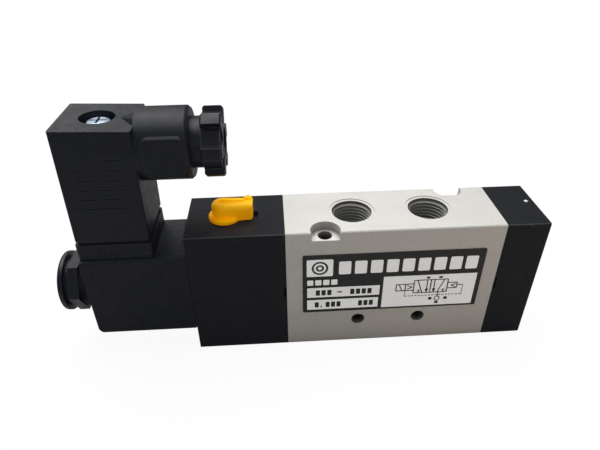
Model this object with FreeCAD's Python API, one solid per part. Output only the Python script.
import FreeCAD, Part
import math
import os

os.makedirs("parts", exist_ok=True)

# Single-solenoid 5/2 spool valve. Millimetres, +Z up, +X from the coil towards the end cap.
# The origin is the middle of the aluminium body's underside.

# overall sections
WIDTH = 18.0
HALF_W = WIDTH / 2
HEIGHT = 35.0
BODY_X = 25.75
PILOT_LEN = 23.0
CAP_LEN = 10.5
AXIS_Z = 17.5
PILOT_X = -BODY_X - PILOT_LEN
CAP_X = BODY_X + CAP_LEN
RUN_GAP = 0.05
THROUGH = 1.0

# G 1/8 ports
PORT_PITCH = 9.35
THREAD_MAJOR_R = 4.864
THREAD_MINOR_R = 4.283
THREAD_PITCH = 0.907
THREAD_CREST = 0.2
THREAD_ROOT = 0.1
THREAD_TURNS = 7
PORT_MOUTH_R = 5.57
PORT_SPOT = 0.2
PORT_OPEN_R = 4.84
PORT_LIP = 1.0
PORT_LEAD = 1.2
PORT_DEPTH = 8.2
PORT_DRILL_R = 2.6

# fixing holes
FIX_HOLE_R = 1.7
FIX_X = 16.5
FIX_Y = 6.85
COUNTERBORE_R = 3.5
COUNTERBORE_YS = (-7.8, 8.15)
COUNTERBORE_DEPTH = 2.2
CROSS_HOLE_X = 7.75
CROSS_HOLE_Z = 7.7

# label plate on the front face
LABEL_LEFT = -21.85
LABEL_RIGHT = 22.1
LABEL_LOW = 10.9
LABEL_HIGH = 28.7
LABEL_T = 0.2

# spool bore and its stack of seals
BORE_R = 4.6
SPOOL_R = 3.0
WAIST_R = 1.9
SEAL_W = 1.6
SEAL_GAP = 0.03
STROKE = 3.0
SPOOL_LEFT = -27.5
SPOOL_RIGHT = 24.5
SEAL_XS = (-2.5 * PORT_PITCH, -1.5 * PORT_PITCH, -0.5 * PORT_PITCH,
           0.5 * PORT_PITCH, 1.5 * PORT_PITCH, 2.5 * PORT_PITCH)
WAISTS = ((-15.5, -6.2), (3.2, 12.5))
WAIST_TAPER = 0.5

# end-face screws (M2.5) and plug screw (M3)
END_SCREW_R = 1.25
END_CLEAR_R = 1.4
END_HEAD_R = 2.2
END_HEAD_BORE_R = 2.4
END_HEAD_H = 2.5
END_HEAD_SINK = 3.0
END_KEY_FLATS = 2.0
END_KEY_DEPTH = 1.3
END_SCREW_Y = 6.2
END_SCREW_HIGH = 30.2
END_SCREW_LOW = 4.2
END_SCREW_REACH = 4.0
END_TAP_EXTRA = 0.7
M3_R = 1.5
M3_CLEAR_R = 1.65
M3_HEAD_R = 2.75

# pistons
PILOT_BORE_R = 7.0
PILOT_BORE_X = -34.75
RETURN_BORE_R = 5.2
RETURN_BORE_X = 33.9
PISTON_GAP = 0.1
LIP_GAP = 0.03
PUSH_R = 2.9
PILOT_LIP_LEFT = -32.6
PILOT_LIP_RIGHT = -30.6
PILOT_LIP_R = 5.4
PILOT_SKIRT_X = -28.8
RETURN_LIP_LEFT = 27.3
RETURN_LIP_RIGHT = 29.1
RETURN_LIP_R = 3.8
RETURN_SKIRT_X = 30.8

# gaskets at both ends of the body
GASKET_T = 0.8
GASKET_Y = 7.9
GASKET_Z = 1.4
SLOT_W = 0.85
SLOT_H = 3.5

# moulding marks on the end cap
NIB_LEFT = 31.2
NIB_W = 0.7
NIB_OUT = 0.15
GATE_X = 34.15
GATE_Y = 1.0
GATE_R = 0.42
CAP_ROUND = 0.4

# pilot air drillings
SUPPLY_Y = 6.4
SUPPLY_Z = 12.0
SUPPLY_R = 0.8
AIRWAY_R = 0.5
RISER_R = 0.6
SEAT_WAY_X = -43.1
OVERRIDE_WAY_Z = 23.0
VENT_Y = -3.3

# manual override
LEVER_X = -39.75
LEVER_Y = -0.6
STEM_R = 2.0
STEM_BORE_R = 2.05
STEM_FOOT = 20.6
LEVER_FLANGE_R = 3.8
LEVER_FLANGE_H = 1.0
LEVER_TOP = 39.1
LEVER_REACH = 6.7
LEVER_HALF_W = 2.65
LEVER_MID_Y = -0.35
LEVER_TAPER = 0.65
LEVER_BACK_X = LEVER_X - 0.3
LEVER_TIP_X = LEVER_X + LEVER_REACH
LEVER_TOP_ROUND = 1.1
LEVER_TIP_ROUND = 0.6
LEVER_CLEAR = 0.15
LEVER_GROOVE_R = 0.85
LEVER_GROOVE_END_R = 0.5
LEVER_GROOVE_Y = -0.5
LEVER_GROOVE_LEFT = LEVER_X - 0.7
LEVER_GROOVE_RIGHT = LEVER_TIP_X - 2.4
LEVER_NUB_R = 1.25
LEVER_NUB_Y = 0.85
LEVER_NUB_DROP = 0.6
KEEPER_R = 0.55
KEEPER_Z = 27.0
KEEPER_NECK_R = 1.3
KEEPER_NECK_HALF = 0.65
STEM_GROOVE_LOW = 29.6
STEM_GROOVE_HIGH = 30.6
STEM_GROOVE_R = 1.4
STEM_RING_R = 0.31
STOP_R = 3.2
STOP_DEPTH = 1.3
STOP_HALF_DEG = 15.0
STOP_SLACK_DEG = 0.6
INDEX_LEFT = -33.05
INDEX_RIGHT = -31.85
INDEX_HALF_W = 1.4
INDEX_DEPTH = 1.2

# solenoid
TUBE_R = 4.0
TUBE_IN_R = 3.55
TUBE_END = -73.9
PLUNGER_R = 3.5
PLUNGER_TRAVEL = 1.0
PLUNGER_RIGHT = -45.3
CORE_X = -60.0
TUBE_COLLAR_LEFT = -48.6
TUBE_COLLAR_RIGHT = -46.9
TUBE_RING_R = 0.5
SEAT_DISC_R = 2.2
SEAT_DISC_LEFT = -46.6
SEAT_BUTTON_R = 1.1
SEAT_BUTTON_T = 1.2
SPRING_R = 2.3
SPRING_WIRE_R = 0.28
SPRING_TURNS = 5
SPRING_POCKET = 4.5
SOCKET_R = 5.5
SOCKET_X = -45.9
WELL_R = 4.2
WELL_X = -44.2
NOZZLE_R = 1.1
NOZZLE_X = -44.9
ORIFICE_R = 0.35
STUD_R = 3.0
STUD_END = -79.9

COIL_LEFT = -73.25
COIL_RIGHT = -49.0
COIL_HALF_W = 8.75
COIL_BOTTOM = 6.75
COIL_TOP = 29.1
COIL_ROUND = 0.5
COIL_CORNER_ROUND = 1.9
COIL_BORE_R = 4.1
COIL_BOSS_R = 6.6
COIL_BOSS_X = -74.6
BASE_LEFT = -73.3
BASE_RIGHT = -56.15
BASE_HALF_W = 7.8
BASE_TOP = 33.4
YOKE_LEFT = -71.9
YOKE_RIGHT = -49.9
YOKE_T = 1.5
YOKE_HALF_W = 6.8
YOKE_LOW = 9.9
YOKE_HIGH = 26.6
BOBBIN_TUBE_R = 4.9
BOBBIN_R = 7.3
BOBBIN_CHEEK = 0.9
WINDING_R = 7.0

NUT_LEFT = -81.0
NUT_DISC_R = 7.5
NUT_DISC_T = 1.2
NUT_NECK_R = 6.2
NUT_HEX_LEFT = -78.6
NUT_FLATS = 13.4
NUT_RIGHT = -76.2
WASHER_R = 6.5

# plug connector
PLUG_X = -64.1
PLUG_LEFT = -72.2
PLUG_RIGHT = -55.75
PLUG_FOOT_LEFT = -72.9
PLUG_FOOT_RIGHT = -56.35
PLUG_TOP_LEFT = -71.95
PLUG_INNER_RIGHT = -57.35
PLUG_HALF_W = 7.8
PLUG_FOOT = 34.5
PLUG_TOP = 60.4
PLUG_TOP_BACK = 60.95
PLUG_WALL = 1.4
PLUG_ROOF = 58.8
PLUG_ROUND = 0.4
SEAM_W = 0.24
PARTING_X = -56.45
PARTING_Y = -0.9
INSERT_TOP = 47.0
BLADE_T = 0.8
BLADE_W = 2.8
BLADE_OFFSET = 4.2
BLADE_FOOT = 28.2
BLADE_TOP = 41.0
RECESS_R = 3.75
RECESS_FLOOR = 56.8
SCREW_HEAD_H = 3.2
SCREW_FOOT = 29.7
CROWN_DROP = 0.8
CROSS_W = 0.6
CROSS_LEN = 3.4
CROSS_DEPTH = 1.1
RIB_PITCH = 2.27
RIB_COUNT = 6
RIB_LOW_Z = 42.95
RIB_LEFT = -69.1
RIB_RIGHT = -58.7
RIB_W = 0.3
RIB_DEEP = 0.15
FAIRING_REACH = 3.9

# cable outlet
CABLE_Z = 54.3
BARREL_R = 7.95
BARREL_RIGHT = -45.0
BARREL_MOUTH_R = 7.5
BARREL_LINE_X = -45.7
BARREL_LINE_W = 0.15
BARREL_BORE_R = 5.65
BARREL_FLOOR = -54.5
WIRE_HOLE_R = 4.2
PAD_LEFT = -54.35
PAD_RIGHT = -45.75
PAD_LOW = 50.0
PAD_HIGH = 58.7
PAD_HALF_W = 8.1
GLAND_SHANK_R = 5.6
GLAND_SHANK_LEFT = -49.4
EAR_LEFT = -42.55
EAR_RIGHT = -38.15
EAR_R = 7.65
EAR_W = 2.7
EAR_COUNT = 6
EAR_FIRST_DEG = 2.5
EAR_ROUND = 0.4
GLAND_CORE_R = 6.25
GLAND_LIP_R = 3.95
GLAND_CORE_RIGHT = -38.55
GLAND_LIP_RIGHT = -38.05
GLAND_SPLIT_X = -50.2
CABLE_R = 3.2


def vec(x, y, z):
    return FreeCAD.Vector(x, y, z)


def box(x0, x1, y0, y1, z0, z1):
    return Part.makeBox(x1 - x0, y1 - y0, z1 - z0, vec(x0, y0, z0))


def rod_x(r, x0, x1, y=0.0, z=AXIS_Z):
    return Part.makeCylinder(r, x1 - x0, vec(x0, y, z), vec(1, 0, 0))


def rod_y(r, y0, y1, x, z):
    return Part.makeCylinder(r, y1 - y0, vec(x, y0, z), vec(0, 1, 0))


def rod_z(r, z0, z1, x=0.0, y=0.0):
    return Part.makeCylinder(r, z1 - z0, vec(x, y, z0), vec(0, 0, 1))


def ring_x(r_out, r_in, x0, x1, y=0.0, z=AXIS_Z):
    return rod_x(r_out, x0, x1, y, z).cut(rod_x(r_in, x0 - THROUGH, x1 + THROUGH, y, z))


def rod_between(r, a, b):
    way = b.sub(a)
    return Part.makeCylinder(r, way.Length, a, way)


def turned_x(points, y=0.0, z=AXIS_Z):
    """Solid of revolution about a line along X; points are (x, radius)."""
    outline = [vec(x, y, z + r) for x, r in points]
    face = Part.Face(Part.makePolygon(outline + outline[:1]))
    return face.revolve(vec(0, y, z), vec(1, 0, 0), 360)


def turned_z(points, x=0.0, y=0.0):
    """Solid of revolution about a vertical line; points are (z, radius)."""
    outline = [vec(x + r, y, z) for z, r in points]
    face = Part.Face(Part.makePolygon(outline + outline[:1]))
    return face.revolve(vec(x, y, 0), vec(0, 0, 1), 360)


def fused(shapes):
    whole = shapes[0]
    for shape in shapes[1:]:
        whole = whole.fuse(shape)
    return whole.removeSplitter()


def cut_all(shape, tools):
    for tool in tools:
        shape = shape.cut(tool)
    return shape


def edges_along(shape, direction, keep=lambda edge: True):
    """Straight edges parallel to a direction that pass a test."""
    found = []
    for edge in shape.Edges:
        if edge.Curve.TypeId != "Part::GeomLine":
            continue
        way = edge.tangentAt(edge.FirstParameter)
        if abs(way.dot(direction)) > 0.995 and keep(edge):
            found.append(edge)
    return found


def rounded(shape, direction, radius, keep=lambda edge: True):
    return shape.makeFillet(radius, edges_along(shape, direction, keep))


def group(shapes):
    return Part.makeCompound(shapes)


def save(name, shape):
    shape.exportStep("parts/" + name + ".step")


# ---------------------------------------------------------------- aluminium body

def port_profile():
    """Depth and radius of a threaded port, from its mouth to its floor."""
    points = [(-THROUGH, 0.0), (-THROUGH, PORT_MOUTH_R), (PORT_SPOT, PORT_MOUTH_R),
              (PORT_SPOT, PORT_OPEN_R), (PORT_LIP, PORT_OPEN_R), (PORT_LEAD, THREAD_MINOR_R)]
    flank = (THREAD_PITCH - THREAD_CREST - THREAD_ROOT) / 2
    for turn in range(THREAD_TURNS):
        start = PORT_LEAD + THREAD_CREST + turn * THREAD_PITCH
        points.append((start, THREAD_MINOR_R))
        points.append((start + flank, THREAD_MAJOR_R))
        points.append((start + flank + THREAD_ROOT, THREAD_MAJOR_R))
        points.append((start + 2 * flank + THREAD_ROOT, THREAD_MINOR_R))
    points.append((PORT_DEPTH, THREAD_MINOR_R))
    points.append((PORT_DEPTH, 0.0))
    return points


def top_port(x):
    return turned_z([(HEIGHT - depth, r) for depth, r in port_profile()], x)


def bottom_port(x):
    return turned_z([(depth, r) for depth, r in port_profile()], x)


def port_cutters():
    cutters = []
    for side in (-1, 1):
        cutters.append(top_port(side * PORT_PITCH))
        cutters.append(rod_z(PORT_DRILL_R, AXIS_Z, HEIGHT - THROUGH, side * PORT_PITCH))
    for step in (-2, 0, 2):
        cutters.append(bottom_port(step * PORT_PITCH))
        cutters.append(rod_z(PORT_DRILL_R, THROUGH, AXIS_Z, step * PORT_PITCH))
    return cutters


def fixing_cutters():
    cutters = []
    for side, pocket_y in zip((-1, 1), COUNTERBORE_YS):
        cutters.append(rod_z(FIX_HOLE_R, -THROUGH, HEIGHT, side * FIX_X, side * FIX_Y))
        cutters.append(rod_z(COUNTERBORE_R, HEIGHT - COUNTERBORE_DEPTH, HEIGHT + THROUGH,
                             side * FIX_X, pocket_y))
        cutters.append(rod_y(FIX_HOLE_R, -HALF_W - THROUGH, HALF_W + THROUGH,
                             side * CROSS_HOLE_X, CROSS_HOLE_Z))
    return cutters


def end_screw_places(side):
    """The two screw positions in an end face: side is -1 at the coil end, 1 at the cap end."""
    return ((side * END_SCREW_Y, END_SCREW_HIGH), (-side * END_SCREW_Y, END_SCREW_LOW))


def pilot_supply_cutters():
    """One drilling to each end, fed from the middle bottom port by a slanted hole."""
    cutters = []
    for side in (-1, 1):
        y = -side * SUPPLY_Y
        x0, x1 = sorted((side * (BODY_X + THROUGH), -side * 2 * AIRWAY_R))
        cutters.append(rod_x(SUPPLY_R, x0, x1, y, SUPPLY_Z))
        cutters.append(rod_between(AIRWAY_R, vec(0, -y / 2, 0), vec(0, y, SUPPLY_Z)))
    return cutters


def valve_body():
    shape = box(-BODY_X, BODY_X, -HALF_W, HALF_W, 0, HEIGHT)
    shape = shape.makeChamfer(0.25, edges_along(shape, vec(1, 0, 0)))
    cutters = [rod_x(BORE_R, -BODY_X - THROUGH, BODY_X + THROUGH)]
    cutters += port_cutters() + fixing_cutters() + pilot_supply_cutters()
    for side in (-1, 1):
        for y, z in end_screw_places(side):
            inner = BODY_X - END_SCREW_REACH - END_TAP_EXTRA
            x0, x1 = sorted((side * inner, side * (BODY_X + THROUGH)))
            cutters.append(rod_x(END_SCREW_R, x0, x1, y, z))
    return cut_all(shape, cutters)


def label_plate():
    plate = box(LABEL_LEFT, LABEL_RIGHT, -HALF_W - LABEL_T, -HALF_W, LABEL_LOW, LABEL_HIGH)
    return rounded(plate, vec(0, 1, 0), 0.4)


# ---------------------------------------------------------------- spool stack

def spool():
    points = [(SPOOL_LEFT, 0.0), (SPOOL_LEFT, SPOOL_R - 0.3), (SPOOL_LEFT + 0.3, SPOOL_R)]
    for left, right in WAISTS:
        points.append((left, SPOOL_R))
        points.append((left + WAIST_TAPER, WAIST_R))
        points.append((right - WAIST_TAPER, WAIST_R))
        points.append((right, SPOOL_R))
    points += [(SPOOL_RIGHT - 0.3, SPOOL_R), (SPOOL_RIGHT, SPOOL_R - 0.3), (SPOOL_RIGHT, 0.0)]
    return turned_x(points)


def bore_seals():
    return group([ring_x(BORE_R, SPOOL_R + SEAL_GAP, x - SEAL_W / 2, x + SEAL_W / 2)
                  for x in SEAL_XS])


def seal_cage(x):
    """Spacer between two seals: flow groove outside, six windows through to the spool."""
    half = (PORT_PITCH - SEAL_W) / 2
    groove = PORT_DRILL_R
    shape = turned_x([(x - half, SPOOL_R + 0.3), (x - half, BORE_R - 0.04),
                      (x - groove, BORE_R - 0.04), (x - groove, BORE_R - 0.55),
                      (x + groove, BORE_R - 0.55), (x + groove, BORE_R - 0.04),
                      (x + half, BORE_R - 0.04), (x + half, SPOOL_R + 0.3)])
    window = rod_z(1.0, AXIS_Z, AXIS_Z + BORE_R + THROUGH, x)
    windows = []
    for step in range(6):
        turned = window.copy()
        turned.rotate(vec(x, 0, AXIS_Z), vec(1, 0, 0), 60 * step)
        windows.append(turned)
    return cut_all(shape, windows)


def seal_cages():
    middles = [(a + b) / 2 for a, b in zip(SEAL_XS[:-1], SEAL_XS[1:])]
    return group([seal_cage(x) for x in middles])


def bore_end_rings():
    inner = SEAL_XS[-1] + SEAL_W / 2
    rings = [ring_x(BORE_R - 0.02, SPOOL_R + 0.15, inner, BODY_X - 0.02),
             ring_x(BORE_R - 0.02, SPOOL_R + 0.15, -BODY_X + 0.02, -inner)]
    return group(rings)


def lip_seal(r_in, r_out, x0, x1, open_left):
    """A seal ring with a V notch on its pressure side."""
    mid = (r_in + r_out) / 2
    deep = (x1 - x0) * 0.55
    if open_left:
        points = [(x0, r_in), (x0, mid - 0.3), (x0 + deep, mid), (x0, mid + 0.3),
                  (x0, r_out), (x1, r_out - 0.15), (x1, r_in)]
    else:
        points = [(x0, r_in), (x0, r_out - 0.15), (x1, r_out), (x1, mid + 0.3),
                  (x1 - deep, mid), (x1, mid - 0.3), (x1, r_in)]
    return turned_x(points)


def pilot_piston():
    head = PILOT_BORE_R - PISTON_GAP
    face = PILOT_BORE_X + RUN_GAP
    return turned_x([(face, 0.0), (face, head), (PILOT_LIP_LEFT, head),
                     (PILOT_LIP_LEFT, PILOT_LIP_R), (PILOT_LIP_RIGHT, PILOT_LIP_R),
                     (PILOT_LIP_RIGHT, head), (PILOT_SKIRT_X, head), (PILOT_SKIRT_X, PUSH_R),
                     (SPOOL_LEFT, PUSH_R), (SPOOL_LEFT, 0.0)])


def return_piston():
    head = RETURN_BORE_R - PISTON_GAP
    face = BODY_X + RUN_GAP
    return turned_x([(SPOOL_RIGHT, 0.0), (SPOOL_RIGHT, PUSH_R), (face, PUSH_R), (face, head),
                     (RETURN_LIP_LEFT, head), (RETURN_LIP_LEFT, RETURN_LIP_R),
                     (RETURN_LIP_RIGHT, RETURN_LIP_R), (RETURN_LIP_RIGHT, head),
                     (RETURN_SKIRT_X, head), (RETURN_SKIRT_X, 0.0)])


# ---------------------------------------------------------------- end cap

def joint_gasket(side, opening_r):
    """Gasket sunk in the moulding that meets the body, with holes for screws and pilot air."""
    x0, x1 = sorted((side * BODY_X, side * (BODY_X + GASKET_T)))
    sheet = box(x0, x1, -GASKET_Y, GASKET_Y, GASKET_Z, HEIGHT - GASKET_Z)
    sheet = rounded(sheet, vec(1, 0, 0), 1.0)
    cutters = [rod_x(opening_r, x0 - THROUGH, x1 + THROUGH)]
    cutters.append(rod_x(SUPPLY_R, x0 - THROUGH, x1 + THROUGH, -side * SUPPLY_Y, SUPPLY_Z))
    for y, z in end_screw_places(side):
        cutters.append(rod_x(END_CLEAR_R, x0 - THROUGH, x1 + THROUGH, y, z))
    return cut_all(sheet, cutters)


def gasket_recess(side):
    x0, x1 = sorted((side * (BODY_X - THROUGH), side * (BODY_X + GASKET_T)))
    return rounded(box(x0, x1, -GASKET_Y, GASKET_Y, GASKET_Z, HEIGHT - GASKET_Z),
                   vec(1, 0, 0), 1.0)


def joint_slot(side):
    """Small window in the front face where the moulding meets the body."""
    x0, x1 = sorted((side * (BODY_X - THROUGH), side * (BODY_X + SLOT_W)))
    return box(x0, x1, -HALF_W - THROUGH, -GASKET_Y + RUN_GAP,
               AXIS_Z - SLOT_H / 2, AXIS_Z + SLOT_H / 2)


def end_cap():
    shape = box(BODY_X, CAP_X, -HALF_W, HALF_W, 0, HEIGHT)
    shape = rounded(shape, vec(0, 0, 1), CAP_ROUND, lambda edge: edge.Vertexes[0].X > CAP_X - 1)
    shape = rounded(shape, vec(1, 0, 0), CAP_ROUND)
    nib = box(NIB_LEFT, NIB_LEFT + NIB_W, -HALF_W - NIB_OUT, -HALF_W + THROUGH,
              HEIGHT - 0.9, HEIGHT - 0.3)
    gate = rod_z(GATE_R, HEIGHT - 0.5, HEIGHT + NIB_OUT, GATE_X, GATE_Y)
    shape = shape.fuse(nib).fuse(gate)
    floor = RETURN_BORE_X
    cutters = [gasket_recess(1), joint_slot(1), rod_x(RETURN_BORE_R, BODY_X, floor),
               rod_x(SUPPLY_R, BODY_X, floor - 0.5, -SUPPLY_Y, SUPPLY_Z),
               rod_between(AIRWAY_R, vec(floor - 1.2, -SUPPLY_Y, SUPPLY_Z),
                           vec(floor - 1.2, 0, AXIS_Z))]
    for y, z in end_screw_places(1):
        cutters.append(rod_x(END_CLEAR_R, BODY_X, CAP_X + THROUGH, y, z))
        cutters.append(rod_x(END_HEAD_BORE_R, CAP_X - END_HEAD_SINK, CAP_X + THROUGH, y, z))
    return cut_all(shape, cutters)


def socket_screw(tip_x, seat_x, y, z):
    """Cap screw along X: tip inside the body, hexagon key socket in an outward-facing head."""
    side = 1 if seat_x > tip_x else -1
    crown_x = seat_x + side * END_HEAD_H
    shank = rod_x(END_SCREW_R, min(tip_x, seat_x), max(tip_x, seat_x), y, z)
    head = rod_x(END_HEAD_R, min(seat_x, crown_x), max(seat_x, crown_x), y, z)
    crown = [edge for edge in head.Edges if abs(edge.BoundBox.XMin - crown_x) < 0.01
             and abs(edge.BoundBox.XMax - crown_x) < 0.01]
    head = head.makeChamfer(0.25, crown)
    key = hexagon_x(END_KEY_FLATS, crown_x - side * END_KEY_DEPTH,
                    crown_x + side * THROUGH, y, z)
    return shank.fuse(head).cut(key).removeSplitter()


def hexagon_x(flats, x0, x1, y, z):
    """Hexagonal bar along X, with a pair of flats facing up and down."""
    corner = flats / math.sqrt(3)
    points = [vec(x0, y + corner * math.cos(math.radians(60 * k)),
                  z + corner * math.sin(math.radians(60 * k))) for k in range(7)]
    return Part.Face(Part.makePolygon(points)).extrude(vec(x1 - x0, 0, 0))


def end_cap_screws():
    return group([socket_screw(BODY_X - END_SCREW_REACH, CAP_X - END_HEAD_SINK, y, z)
                  for y, z in end_screw_places(1)])


# ---------------------------------------------------------------- pilot block

def stop_sector(r, z0, z1, first_deg, last_deg):
    """Sector of a ring round the override stem, for its quarter-turn stop."""
    foot = vec(LEVER_X, LEVER_Y, z0)
    ring = Part.makeCylinder(r, z1 - z0, foot, vec(0, 0, 1), last_deg - first_deg)
    ring.rotate(foot, vec(0, 0, 1), first_deg)
    return ring


def pilot_air_cutters():
    """Supply to the seat and the override, and the way from the seat to the piston."""
    seat = vec(SEAT_WAY_X, 0, AXIS_Z)
    high = vec(SEAT_WAY_X, 0, OVERRIDE_WAY_Z)
    return [rod_x(SUPPLY_R, SEAT_WAY_X - SUPPLY_R, -BODY_X + THROUGH, SUPPLY_Y, SUPPLY_Z),
            rod_between(AIRWAY_R, vec(SEAT_WAY_X, SUPPLY_Y, SUPPLY_Z), seat),
            rod_between(RISER_R, seat, high.add(vec(0, 0, THROUGH))),
            rod_x(AIRWAY_R, SEAT_WAY_X - THROUGH, PILOT_BORE_X + THROUGH, LEVER_Y,
                  OVERRIDE_WAY_Z),
            rod_x(ORIFICE_R, NOZZLE_X - THROUGH, SEAT_WAY_X),
            rod_x(AIRWAY_R, WELL_X - THROUGH, PILOT_BORE_X + THROUGH, VENT_Y)]


def seat_well():
    """Well at the bottom of the armature socket, cut round the standing nozzle."""
    return turned_x([(SOCKET_X - THROUGH, 0.0), (SOCKET_X - THROUGH, WELL_R), (WELL_X, WELL_R),
                     (WELL_X, NOZZLE_R + 0.5), (NOZZLE_X, NOZZLE_R - 0.3), (NOZZLE_X, 0.0)])


def pilot_block():
    shape = box(PILOT_X, -BODY_X, -HALF_W, HALF_W, 0, HEIGHT)
    shape = rounded(shape, vec(1, 0, 0), 0.4)
    hollows = [gasket_recess(-1), joint_slot(-1),
               rod_x(PILOT_BORE_R, PILOT_BORE_X, -BODY_X),
               rod_x(SOCKET_R, PILOT_X - THROUGH, SOCKET_X),
               seat_well(),
               rod_z(STEM_BORE_R, STEM_FOOT - RUN_GAP, HEIGHT + THROUGH, LEVER_X, LEVER_Y),
               stop_sector(STOP_R + RUN_GAP, HEIGHT - STOP_DEPTH, HEIGHT + THROUGH,
                           90 - STOP_HALF_DEG - STOP_SLACK_DEG,
                           180 + STOP_HALF_DEG + STOP_SLACK_DEG),
               rod_y(KEEPER_R, -3.0, HALF_W + THROUGH, LEVER_X - STEM_R, KEEPER_Z),
               box(INDEX_LEFT, INDEX_RIGHT, -INDEX_HALF_W, INDEX_HALF_W,
                   HEIGHT - INDEX_DEPTH, HEIGHT + THROUGH)]
    for y, z in end_screw_places(-1):
        hollows.append(rod_x(END_CLEAR_R, PILOT_X - THROUGH, -BODY_X + THROUGH, y, z))
        hollows.append(rod_x(END_HEAD_BORE_R, PILOT_X - THROUGH, PILOT_X + END_HEAD_SINK, y, z))
    return cut_all(shape, hollows + pilot_air_cutters())


def pilot_block_screws():
    return group([socket_screw(-BODY_X + END_SCREW_REACH, PILOT_X + END_HEAD_SINK, y, z)
                  for y, z in end_screw_places(-1)])


def lever_bar(top):
    """Bar of the handle, narrowing towards its tip, up to a given height."""
    foot = HEIGHT + LEVER_CLEAR
    front, rear = LEVER_MID_Y - LEVER_HALF_W, LEVER_MID_Y + LEVER_HALF_W
    corners = [vec(LEVER_BACK_X, front, foot), vec(LEVER_TIP_X, front + LEVER_TAPER, foot),
               vec(LEVER_TIP_X, rear - LEVER_TAPER, foot), vec(LEVER_BACK_X, rear, foot)]
    return Part.Face(Part.makePolygon(corners + corners[:1])).extrude(vec(0, 0, top - foot))


def lever_groove():
    """Finger groove along the top, narrower towards the tip."""
    z = LEVER_TOP + 0.1
    left, right = LEVER_GROOVE_LEFT, LEVER_GROOVE_RIGHT
    return [Part.makeCone(LEVER_GROOVE_R, LEVER_GROOVE_END_R, right - left,
                          vec(left, LEVER_GROOVE_Y, z), vec(1, 0, 0)),
            Part.makeSphere(LEVER_GROOVE_R, vec(left, LEVER_GROOVE_Y, z)),
            Part.makeSphere(LEVER_GROOVE_END_R, vec(right, LEVER_GROOVE_Y, z))]


def lever_handle():
    """Handle: round back, rounded rims beside a groove, flat tip with a small nub at the rear."""
    foot = HEIGHT + LEVER_CLEAR
    back = rod_z(LEVER_HALF_W, foot, LEVER_TOP, LEVER_BACK_X, LEVER_MID_Y)
    crown = [edge for edge in back.Edges if edge.BoundBox.ZMin > LEVER_TOP - 0.01]
    back = back.makeFillet(LEVER_TOP_ROUND, crown)
    bar = lever_bar(LEVER_TOP)
    rims = [edge for edge in bar.Edges if edge.BoundBox.ZMin > LEVER_TOP - 0.01
            and edge.BoundBox.XLength > LEVER_HALF_W]
    bar = bar.makeFillet(LEVER_TOP_ROUND, rims)
    at_tip = rounded(lever_bar(LEVER_TOP + THROUGH), vec(0, 0, 1), LEVER_TIP_ROUND,
                     lambda edge: edge.Vertexes[0].X > LEVER_X)
    reach = box(LEVER_X - LEVER_REACH, LEVER_TIP_X, -HALF_W, HALF_W, foot, LEVER_TOP + THROUGH)
    under_tip = rounded(reach, vec(0, 1, 0), LEVER_TIP_ROUND,
                        lambda edge: edge.Vertexes[0].X > LEVER_X
                        and edge.Vertexes[0].Z < LEVER_TOP)
    bar = bar.common(at_tip).common(under_tip)
    nub = Part.makeSphere(LEVER_NUB_R, vec(LEVER_TIP_X - 0.9 * LEVER_NUB_R, LEVER_NUB_Y,
                                           LEVER_TOP - LEVER_NUB_DROP))
    return cut_all(back.fuse(bar), lever_groove()).fuse(nub).removeSplitter()


def manual_override():
    stem = turned_z([(STEM_FOOT, 0.0), (STEM_FOOT, STEM_R - 0.3), (STEM_FOOT + 0.3, STEM_R),
                     (KEEPER_Z - KEEPER_NECK_HALF, STEM_R),
                     (KEEPER_Z - KEEPER_NECK_HALF, KEEPER_NECK_R),
                     (KEEPER_Z + KEEPER_NECK_HALF, KEEPER_NECK_R),
                     (KEEPER_Z + KEEPER_NECK_HALF, STEM_R),
                     (STEM_GROOVE_LOW, STEM_R), (STEM_GROOVE_LOW, STEM_GROOVE_R),
                     (STEM_GROOVE_HIGH, STEM_GROOVE_R), (STEM_GROOVE_HIGH, STEM_R),
                     (HEIGHT + RUN_GAP, STEM_R), (HEIGHT + RUN_GAP, LEVER_FLANGE_R),
                     (HEIGHT + LEVER_FLANGE_H - 0.3, LEVER_FLANGE_R),
                     (HEIGHT + LEVER_FLANGE_H, LEVER_FLANGE_R - 0.3),
                     (HEIGHT + LEVER_FLANGE_H, 0.0)], LEVER_X, LEVER_Y)
    rib = stop_sector(STOP_R, HEIGHT - STOP_DEPTH + RUN_GAP, HEIGHT + 0.2,
                      180 - STOP_HALF_DEG, 180 + STOP_HALF_DEG)
    port = rod_y(AIRWAY_R, -STEM_R - THROUGH, STEM_R + THROUGH, LEVER_X, OVERRIDE_WAY_Z)
    return fused([stem, rib, lever_handle()]).cut(port)


def override_o_ring():
    middle = (STEM_GROOVE_LOW + STEM_GROOVE_HIGH) / 2
    return Part.makeTorus(STEM_GROOVE_R + STEM_RING_R, STEM_RING_R,
                          vec(LEVER_X, LEVER_Y, middle),
                          vec(0, 0, 1))


def override_keeper_pin():
    return rod_y(KEEPER_R, -2.8, HALF_W - 0.3, LEVER_X - STEM_R, KEEPER_Z)


# ---------------------------------------------------------------- armature

def armature_tube():
    return turned_x([(TUBE_END, TUBE_IN_R), (TUBE_END, TUBE_R), (TUBE_COLLAR_LEFT, TUBE_R),
                     (TUBE_COLLAR_LEFT, SOCKET_R), (TUBE_COLLAR_RIGHT, SOCKET_R),
                     (TUBE_COLLAR_RIGHT, TUBE_R + 0.15), (SOCKET_X, TUBE_R + 0.15),
                     (SOCKET_X, TUBE_IN_R)])


def tube_o_ring():
    middle = TUBE_COLLAR_RIGHT + TUBE_RING_R
    return Part.makeTorus(SOCKET_R - TUBE_RING_R - 0.17, TUBE_RING_R, vec(middle, 0, AXIS_Z),
                          vec(1, 0, 0))


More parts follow.
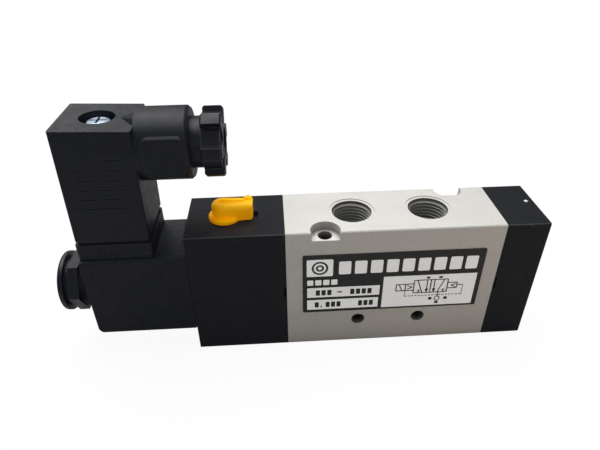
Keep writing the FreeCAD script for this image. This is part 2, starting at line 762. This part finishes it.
def fixed_core():
    body = turned_x([(TUBE_END, 0.0), (TUBE_END, TUBE_IN_R), (CORE_X, TUBE_IN_R),
                     (CORE_X, 0.0)])
    flank = 0.45
    points = [(STUD_END, 0.0), (STUD_END, STUD_R - 0.5), (STUD_END + 0.4, STUD_R)]
    start = STUD_END + 0.4
    for turn in range(5):
        points.append((start + turn + 0.05, STUD_R))
        points.append((start + turn + 0.05 + flank, STUD_R - 0.45))
        points.append((start + turn + 0.05 + 2 * flank, STUD_R))
    points += [(TUBE_END, STUD_R), (TUBE_END, 0.0)]
    vent = rod_x(ORIFICE_R, STUD_END - THROUGH, CORE_X + THROUGH)
    return fused([body, turned_x(points)]).cut(vent)


def plunger():
    """Moving iron: spring pocket at the core end, seat pocket at each end, two air flutes."""
    left = CORE_X + PLUNGER_TRAVEL + RUN_GAP
    right = PLUNGER_RIGHT
    shape = turned_x([(left, 0.0), (left, PLUNGER_R), (right - 0.4, PLUNGER_R),
                      (right, PLUNGER_R - 0.4), (right, 0.0)])
    pocket = ring_x(SPRING_R + 0.6, SPRING_R - 0.6, left - THROUGH, left + SPRING_POCKET)
    flutes = [box(left - THROUGH, right + THROUGH, -0.5, 0.5,
                  AXIS_Z + side * PLUNGER_R - 0.6, AXIS_Z + side * PLUNGER_R + 0.6)
              for side in (-1, 1)]
    seats = [rod_x(SEAT_BUTTON_R, left - THROUGH, left + SEAT_BUTTON_T),
             rod_x(SEAT_DISC_R, SEAT_DISC_LEFT, right + THROUGH)]
    return cut_all(shape, [pocket] + flutes + seats)


def plunger_seats():
    left = CORE_X + PLUNGER_TRAVEL + RUN_GAP
    return group([rod_x(SEAT_BUTTON_R, left - 0.02, left + SEAT_BUTTON_T),
                  rod_x(SEAT_DISC_R, SEAT_DISC_LEFT, NOZZLE_X - 0.03)])


def coil_spring(mean_r, wire_r, x0, x1, turns):
    """Open coil spring along X with plain ends."""
    helix = Part.makeHelix((x1 - x0 - 2 * wire_r) / turns, x1 - x0 - 2 * wire_r, mean_r)
    start = helix.Edges[0].Vertexes[0].Point
    section = Part.Wire(Part.makeCircle(wire_r, start, vec(0, 1, 0)))
    spring = Part.Wire(helix).makePipeShell([section], True, True)
    spring.rotate(vec(0, 0, 0), vec(0, 1, 0), 90)
    spring.translate(vec(x0 + wire_r, 0, AXIS_Z))
    return spring


def plunger_spring():
    return coil_spring(SPRING_R, SPRING_WIRE_R, CORE_X + 0.02,
                       CORE_X + PLUNGER_TRAVEL + SPRING_POCKET, SPRING_TURNS)


# ---------------------------------------------------------------- coil

def coil_yoke():
    plates = [box(YOKE_LEFT, YOKE_LEFT + YOKE_T, -YOKE_HALF_W, YOKE_HALF_W, YOKE_LOW, YOKE_HIGH),
              box(YOKE_RIGHT - YOKE_T, YOKE_RIGHT, -YOKE_HALF_W, YOKE_HALF_W, YOKE_LOW,
                  YOKE_HIGH),
              box(YOKE_LEFT, YOKE_RIGHT, -5.0, 5.0, YOKE_HIGH - YOKE_T, YOKE_HIGH)]
    return fused(plates).cut(rod_x(COIL_BORE_R, YOKE_LEFT - THROUGH, YOKE_RIGHT + THROUGH))


def bobbin():
    left = YOKE_LEFT + YOKE_T
    right = YOKE_RIGHT - YOKE_T
    return turned_x([(left, COIL_BORE_R), (left, BOBBIN_R), (left + BOBBIN_CHEEK, BOBBIN_R),
                     (left + BOBBIN_CHEEK, BOBBIN_TUBE_R), (right - BOBBIN_CHEEK, BOBBIN_TUBE_R),
                     (right - BOBBIN_CHEEK, BOBBIN_R), (right, BOBBIN_R), (right, COIL_BORE_R)])


def winding():
    return ring_x(WINDING_R, BOBBIN_TUBE_R, YOKE_LEFT + YOKE_T + BOBBIN_CHEEK,
                  YOKE_RIGHT - YOKE_T - BOBBIN_CHEEK)


def blade_places():
    """Middle and half sizes of the three terminal blades in plan."""
    return ((PLUG_X - BLADE_OFFSET, 0.0, BLADE_T / 2, BLADE_W / 2),
            (PLUG_X + BLADE_OFFSET, 0.0, BLADE_T / 2, BLADE_W / 2),
            (PLUG_X, BLADE_OFFSET, BLADE_W / 2, BLADE_T / 2))


def blade_boxes(foot, top, grow=0.0):
    return [box(x - hx - grow, x + hx + grow, y - hy - grow, y + hy + grow, foot, top)
            for x, y, hx, hy in blade_places()]


def coil_housing():
    case = box(COIL_LEFT, COIL_RIGHT, -COIL_HALF_W, COIL_HALF_W, COIL_BOTTOM, COIL_TOP)
    case = rounded(case, vec(1, 0, 0), COIL_ROUND, lambda edge: edge.Vertexes[0].Z < AXIS_Z)
    case = rounded(case, vec(1, 0, 0), 0.6, lambda edge: edge.Vertexes[0].Z > AXIS_Z)
    cornered = box(COIL_LEFT, COIL_RIGHT, -HALF_W, HALF_W, COIL_BOTTOM, HEIGHT)
    cornered = rounded(cornered, vec(0, 1, 0), COIL_CORNER_ROUND,
                       lambda edge: edge.Vertexes[0].X < CORE_X and edge.Vertexes[0].Z < AXIS_Z)
    case = case.common(cornered)
    base = box(BASE_LEFT, BASE_RIGHT, -BASE_HALF_W, BASE_HALF_W, COIL_TOP - THROUGH, BASE_TOP)
    base = rounded(base, vec(0, 0, 1), 0.8)
    boss = rod_x(COIL_BOSS_R, COIL_BOSS_X, COIL_LEFT + THROUGH)
    shape = fused([case, base, boss])
    hollow = [coil_yoke(), rod_x(BOBBIN_R, YOKE_LEFT + YOKE_T, YOKE_RIGHT - YOKE_T),
              rod_x(COIL_BORE_R, COIL_BOSS_X - THROUGH, COIL_RIGHT + THROUGH),
              rod_z(M3_R, SCREW_FOOT - 0.3, BASE_TOP + THROUGH, PLUG_X)]
    return cut_all(shape, hollow + blade_boxes(BLADE_FOOT, BASE_TOP + THROUGH))


def terminal_blades():
    blades = []
    for shape in blade_boxes(BLADE_FOOT, BLADE_TOP):
        top = [edge for edge in shape.Edges if edge.BoundBox.ZMin > BLADE_TOP - 0.01
               and edge.Length > BLADE_T + 0.1]
        blades.append(shape.makeChamfer(0.25, top))
    return group(blades)


def coil_nut():
    disc = rod_x(NUT_DISC_R, NUT_LEFT, NUT_LEFT + NUT_DISC_T)
    disc = disc.makeFillet(0.5, [edge for edge in disc.Edges
                                 if edge.BoundBox.XMax < NUT_LEFT + 0.01])
    neck = rod_x(NUT_NECK_R, NUT_LEFT + NUT_DISC_T - 0.1, NUT_HEX_LEFT + 0.1)
    hexagon = hexagon_x(NUT_FLATS, NUT_HEX_LEFT, NUT_RIGHT, 0, AXIS_Z)
    hole = rod_x(STUD_R + 0.02, NUT_LEFT + 0.9, NUT_RIGHT + THROUGH)
    vent = rod_x(0.8, NUT_LEFT - THROUGH, NUT_RIGHT)
    return fused([disc, neck, hexagon]).cut(hole).cut(vent)


def coil_nut_washer():
    return ring_x(WASHER_R, TUBE_R - 0.8, NUT_RIGHT, COIL_BOSS_X)


# ---------------------------------------------------------------- plug connector

def plug_gasket():
    sheet = box(BASE_LEFT + 0.5, BASE_RIGHT - 0.5, -BASE_HALF_W + 0.5, BASE_HALF_W - 0.5,
                BASE_TOP, PLUG_FOOT)
    sheet = rounded(sheet, vec(0, 0, 1), 0.8)
    hole = rod_z(M3_CLEAR_R, BASE_TOP - THROUGH, PLUG_FOOT + THROUGH, PLUG_X)
    return cut_all(sheet, [hole] + blade_boxes(BASE_TOP - THROUGH, PLUG_FOOT + THROUGH))


def outlet_fairing():
    """Low wedge on the roof that rises into the barrel."""
    half = math.sqrt(BARREL_R ** 2 - (PLUG_TOP - CABLE_Z) ** 2)
    tip = vec(PLUG_RIGHT - FAIRING_REACH, 0, PLUG_TOP - 0.02)
    rim = [vec(PLUG_RIGHT, -half, PLUG_TOP - 0.02), vec(PLUG_RIGHT, half, PLUG_TOP - 0.02)]
    steps = 6
    angle = math.asin(half / BARREL_R)
    for k in range(1, steps):
        turn = angle - 2 * angle * k / steps
        rim.append(vec(PLUG_RIGHT, BARREL_R * math.sin(turn),
                       CABLE_Z + BARREL_R * math.cos(turn)))
    back = Part.Face(Part.makePolygon(rim + rim[:1]))
    sides = [Part.Face(Part.makePolygon([tip, a, b, tip]))
             for a, b in zip(rim, rim[1:] + rim[:1])]
    return Part.Solid(Part.Shell([back] + sides))


def outlet_barrel():
    """Barrel with a line near its bevelled mouth and flat side pads."""
    start = PLUG_RIGHT - THROUGH
    line = BARREL_LINE_X
    floor = BARREL_R - BARREL_LINE_W
    barrel = turned_x([(start, 0.0), (start, BARREL_R), (line, BARREL_R), (line, floor),
                       (line + BARREL_LINE_W, floor), (line + BARREL_LINE_W, BARREL_R),
                       (BARREL_RIGHT, BARREL_MOUTH_R), (BARREL_RIGHT, 0.0)], 0, CABLE_Z)
    over_roof = box(start - THROUGH, PLUG_RIGHT - RUN_GAP, -HALF_W, HALF_W, PLUG_TOP - 0.3,
                    CABLE_Z + BARREL_R + THROUGH)
    pads = box(PAD_LEFT, PAD_RIGHT, -PAD_HALF_W, PAD_HALF_W, PAD_LOW, PAD_HIGH)
    pads = rounded(pads, vec(0, 1, 0), 1.4)
    return fused([barrel.cut(over_roof), pads])


def panel_grooves():
    """Shallow horizontal grip lines on the front face."""
    lines = []
    for k in range(RIB_COUNT):
        z = RIB_LOW_Z + k * RIB_PITCH
        lines.append(box(RIB_LEFT, RIB_RIGHT, -PLUG_HALF_W - THROUGH, -PLUG_HALF_W + RIB_DEEP,
                         z - RIB_W / 2, z + RIB_W / 2))
    return lines


def plug_case():
    """Outer case, leaning a little towards the outlet."""
    corners = [vec(PLUG_FOOT_LEFT, -PLUG_HALF_W, PLUG_FOOT),
               vec(PLUG_FOOT_RIGHT, -PLUG_HALF_W, PLUG_FOOT),
               vec(PLUG_RIGHT, -PLUG_HALF_W, PLUG_TOP),
               vec(PLUG_TOP_LEFT, -PLUG_HALF_W, PLUG_TOP_BACK)]
    face = Part.Face(Part.makePolygon(corners + corners[:1]))
    case = face.extrude(vec(0, 2 * PLUG_HALF_W, 0))
    return rounded(case, vec(0, 0, 1), PLUG_ROUND)


def seam_grooves():
    """Moulding seam along the roof and down the outlet side."""
    return [box(PLUG_X + RECESS_R - SEAM_W, PLUG_RIGHT - FAIRING_REACH, -SEAM_W / 2, SEAM_W / 2,
                PLUG_TOP - 0.02, PLUG_TOP + THROUGH),
            box(PARTING_X, PLUG_RIGHT + THROUGH, PARTING_Y, PARTING_Y + BARREL_LINE_W,
                PLUG_FOOT + THROUGH, CABLE_Z - BARREL_R - 0.2)]


def plug_housing():
    case = plug_case()
    case = fused([case, outlet_barrel()])
    cavity = box(PLUG_LEFT + PLUG_WALL, PLUG_INNER_RIGHT, -PLUG_HALF_W + PLUG_WALL,
                 PLUG_HALF_W - PLUG_WALL, PLUG_FOOT - THROUGH, PLUG_ROOF)
    column = fused([rod_z(3.1, INSERT_TOP, PLUG_ROOF + 0.2, PLUG_X),
                    rod_z(4.7, RECESS_FLOOR - 1.5, PLUG_ROOF + 0.2, PLUG_X)])
    shape = case.cut(cavity.cut(column))
    cutters = [rod_z(RECESS_R, RECESS_FLOOR, PLUG_TOP + THROUGH, PLUG_X),
               rod_z(M3_CLEAR_R, INSERT_TOP - THROUGH, PLUG_TOP, PLUG_X),
               rod_x(BARREL_BORE_R, BARREL_FLOOR, BARREL_RIGHT + THROUGH, 0, CABLE_Z),
               rod_x(WIRE_HOLE_R, PLUG_INNER_RIGHT - 0.1, BARREL_RIGHT, 0, CABLE_Z)]
    shape = cut_all(shape, cutters + panel_grooves() + seam_grooves())
    return shape.fuse(outlet_fairing()).removeSplitter()


def plug_insert():
    gap = PLUG_WALL + RUN_GAP
    block = box(PLUG_LEFT + gap, PLUG_INNER_RIGHT - RUN_GAP, -PLUG_HALF_W + gap, PLUG_HALF_W - gap,
                PLUG_FOOT, INSERT_TOP)
    hole = rod_z(M3_CLEAR_R, PLUG_FOOT - THROUGH, INSERT_TOP + THROUGH, PLUG_X)
    pockets = blade_boxes(PLUG_FOOT - THROUGH, INSERT_TOP + THROUGH, 0.6)
    return cut_all(block, [hole] + pockets)


def plug_contacts():
    """Folded sockets that grip the blades, each with a tab under a wire screw."""
    contacts = []
    outers = blade_boxes(PLUG_FOOT + 0.6, INSERT_TOP + 0.6, 0.55)
    inners = blade_boxes(PLUG_FOOT, BLADE_TOP + 1.0, 0.02)
    holes = [rod_z(0.55, BLADE_TOP + 2.0, INSERT_TOP + THROUGH, x, y)
             for x, y, hx, hy in blade_places()]
    for outer, inner, hole in zip(outers, inners, holes):
        contacts.append(outer.cut(inner).cut(hole))
    return group(contacts)


def wire_screws():
    screws = []
    for x, y, hx, hy in blade_places():
        head = rod_z(1.0, INSERT_TOP + 0.6, INSERT_TOP + 1.8, x, y)
        slot = box(x - 0.15, x + 0.15, y - 2, y + 2, INSERT_TOP + 1.3, INSERT_TOP + 2)
        screws.append(head.fuse(rod_z(0.55, BLADE_TOP + 2.5, INSERT_TOP + 0.7, x, y)).cut(slot))
    return group(screws)


def plug_screw():
    crown = RECESS_FLOOR + SCREW_HEAD_H
    shape = turned_z([(SCREW_FOOT, 0.0), (SCREW_FOOT, M3_R - 0.4), (SCREW_FOOT + 0.4, M3_R),
                      (RECESS_FLOOR, M3_R), (RECESS_FLOOR, M3_HEAD_R),
                      (crown - CROWN_DROP, M3_HEAD_R),
                      (crown - 0.3 * CROWN_DROP, M3_HEAD_R - 0.5 * CROWN_DROP),
                      (crown, M3_HEAD_R - 1.4 * CROWN_DROP), (crown, 0.0)], PLUG_X)
    half, arm, floor = CROSS_W / 2, CROSS_LEN / 2, crown - CROSS_DEPTH
    arms = [box(PLUG_X - arm, PLUG_X + arm, -half, half, floor, crown + THROUGH),
            box(PLUG_X - half, PLUG_X + half, -arm, arm, floor, crown + THROUGH)]
    return cut_all(shape, arms)


# ---------------------------------------------------------------- cable gland

def gland_seal():
    return ring_x(BARREL_BORE_R - RUN_GAP, 2.2, BARREL_FLOOR + 0.05, GLAND_SPLIT_X, 0, CABLE_Z)


def gland_washer():
    return ring_x(BARREL_BORE_R - RUN_GAP, 2.9, GLAND_SPLIT_X, GLAND_SHANK_LEFT, 0, CABLE_Z)


def gland_ear(k):
    """One grip ear, trimmed to the round envelope of the nut."""
    ear = box(EAR_LEFT, EAR_RIGHT, -EAR_R - THROUGH, 0, CABLE_Z - EAR_W / 2, CABLE_Z + EAR_W / 2)
    ear.rotate(vec(0, 0, CABLE_Z), vec(1, 0, 0), -(EAR_FIRST_DEG + 360 * k / EAR_COUNT))
    envelope = turned_x([(EAR_LEFT, 0.0), (EAR_LEFT, EAR_R - EAR_ROUND),
                         (EAR_LEFT + EAR_ROUND, EAR_R), (EAR_RIGHT - EAR_ROUND, EAR_R),
                         (EAR_RIGHT, EAR_R - EAR_ROUND), (EAR_RIGHT, 0.0)], 0, CABLE_Z)
    return ear.common(envelope)


def gland_nut():
    shank = rod_x(GLAND_SHANK_R, GLAND_SHANK_LEFT, EAR_LEFT + 0.1, 0, CABLE_Z)
    core = rod_x(GLAND_CORE_R, EAR_LEFT, GLAND_CORE_RIGHT, 0, CABLE_Z)
    lip = rod_x(GLAND_LIP_R, GLAND_CORE_RIGHT - 0.1, GLAND_LIP_RIGHT, 0, CABLE_Z)
    ears = [gland_ear(k) for k in range(EAR_COUNT)]
    bore = rod_x(CABLE_R, GLAND_SHANK_LEFT - THROUGH, GLAND_LIP_RIGHT + THROUGH, 0, CABLE_Z)
    return fused([shank, core, lip] + ears).cut(bore)


save("valve_body", valve_body())
save("label_plate", label_plate())
save("spool", spool())
save("bore_seals", bore_seals())
save("seal_cages", seal_cages())
save("bore_end_rings", bore_end_rings())
save("pilot_piston", pilot_piston())
save("pilot_piston_seal", lip_seal(PILOT_LIP_R, PILOT_BORE_R - LIP_GAP, PILOT_LIP_LEFT,
                                   PILOT_LIP_RIGHT, True))
save("return_piston", return_piston())
save("return_piston_seal", lip_seal(RETURN_LIP_R, RETURN_BORE_R - LIP_GAP, RETURN_LIP_LEFT,
                                    RETURN_LIP_RIGHT, False))
save("end_cap", end_cap())
save("end_cap_gasket", joint_gasket(1, RETURN_BORE_R + 0.1))
save("end_cap_screws", end_cap_screws())
save("pilot_block", pilot_block())
save("pilot_block_gasket", joint_gasket(-1, PILOT_BORE_R + 0.1))
save("pilot_block_screws", pilot_block_screws())
save("manual_override", manual_override())
save("override_o_ring", override_o_ring())
save("override_keeper_pin", override_keeper_pin())
save("armature_tube", armature_tube())
save("tube_o_ring", tube_o_ring())
save("fixed_core", fixed_core())
save("plunger", plunger())
save("plunger_seats", plunger_seats())
save("plunger_spring", plunger_spring())
save("coil_yoke", coil_yoke())
save("coil_bobbin", bobbin())
save("coil_winding", winding())
save("coil_housing", coil_housing())
save("terminal_blades", terminal_blades())
save("coil_nut", coil_nut())
save("coil_nut_washer", coil_nut_washer())
save("plug_gasket", plug_gasket())
save("plug_housing", plug_housing())
save("plug_insert", plug_insert())
save("plug_contacts", plug_contacts())
save("wire_screws", wire_screws())
save("plug_screw", plug_screw())
save("gland_seal", gland_seal())
save("gland_washer", gland_washer())
save("gland_nut", gland_nut())
